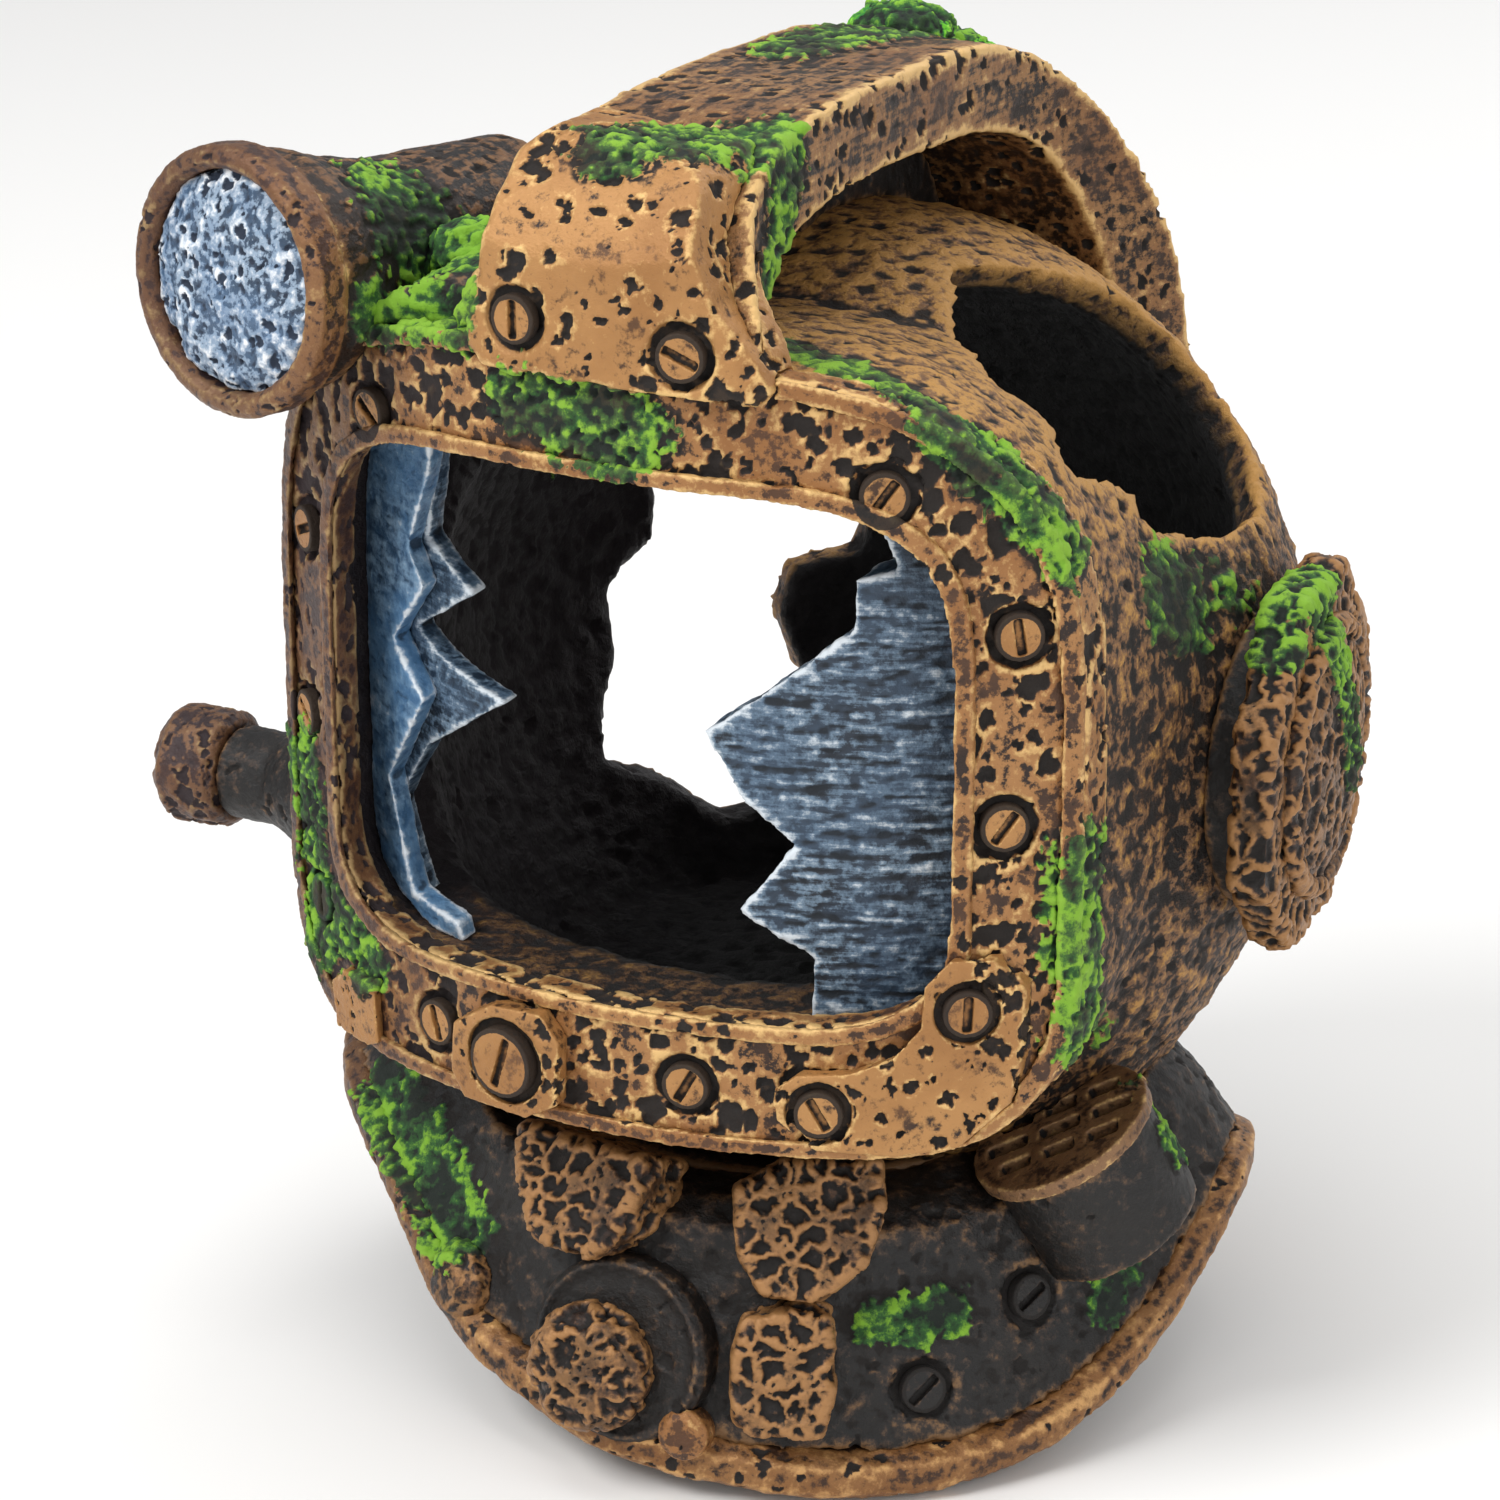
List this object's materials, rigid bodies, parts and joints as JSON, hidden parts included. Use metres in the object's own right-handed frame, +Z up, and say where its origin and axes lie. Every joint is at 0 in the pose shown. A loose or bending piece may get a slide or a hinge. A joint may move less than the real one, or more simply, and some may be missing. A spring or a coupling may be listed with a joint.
{
  "type": "aquarium cave ornament",
  "caption": "Sunken diver's helmet cave ornament in painted resin, with a broken window, lamp, side port, crest handle and torn breastplate.",
  "frame": {"origin": "centre of the flat foot, on the surface that the ornament stands on", "axes": "+Z up, -Y towards the front of the broken window, +X towards the side port"},
  "size_m": [0.1383, 0.1222, 0.1578],
  "materials": {
    "copper_resin": "cast resin painted as aged copper, dark pits and bright brushed edges",
    "dark_resin": "cast resin painted near black with rust-brown grain",
    "pane_resin": "cast resin painted blue with white brushed edges, opaque",
    "lens_resin": "pale blue glossy paint over a hammered lens",
    "moss": "rough bright green painted moss"
  },
  "bodies": {
    "root": {"helmet_shell": "copper_resin", "window_frame": "copper_resin", "frame_inner_bead": "copper_resin", "frame_outer_bead": "copper_resin", "side_tab": "copper_resin", "frame_screws": "copper_resin", "patch_screws": "copper_resin", "latch_screw": "copper_resin", "brow_screws": "copper_resin", "corner_patch": "copper_resin", "latch_boss": "copper_resin", "crest_handle": "copper_resin", "brow_plate": "copper_resin", "lamp_barrel": "dark_resin", "lamp_bezel": "dark_resin", "lamp_lens": "lens_resin", "lamp_saddle": "dark_resin", "port_neck": "dark_resin", "port_flange": "copper_resin", "port_rim": "copper_resin", "port_disc": "dark_resin", "knob_stem": "dark_resin", "side_knob": "copper_resin", "glass_right": "pane_resin", "glass_left": "pane_resin", "glass_left_rear": "pane_resin", "base_core": "dark_resin", "corselet_rim": "copper_resin", "regulator_drum": "dark_resin", "regulator_knob": "copper_resin", "regulator_stud": "copper_resin", "hose_block": "copper_resin", "pouch_left": "copper_resin", "pouch_right": "copper_resin", "side_lug": "dark_resin", "vent_can": "dark_resin", "vent_grille": "copper_resin", "corselet_screws": "dark_resin", "corselet": "dark_resin", "moss_crown": "moss", "moss_crest": "moss", "crest_web": "dark_resin"}
  },
  "joints": []
}
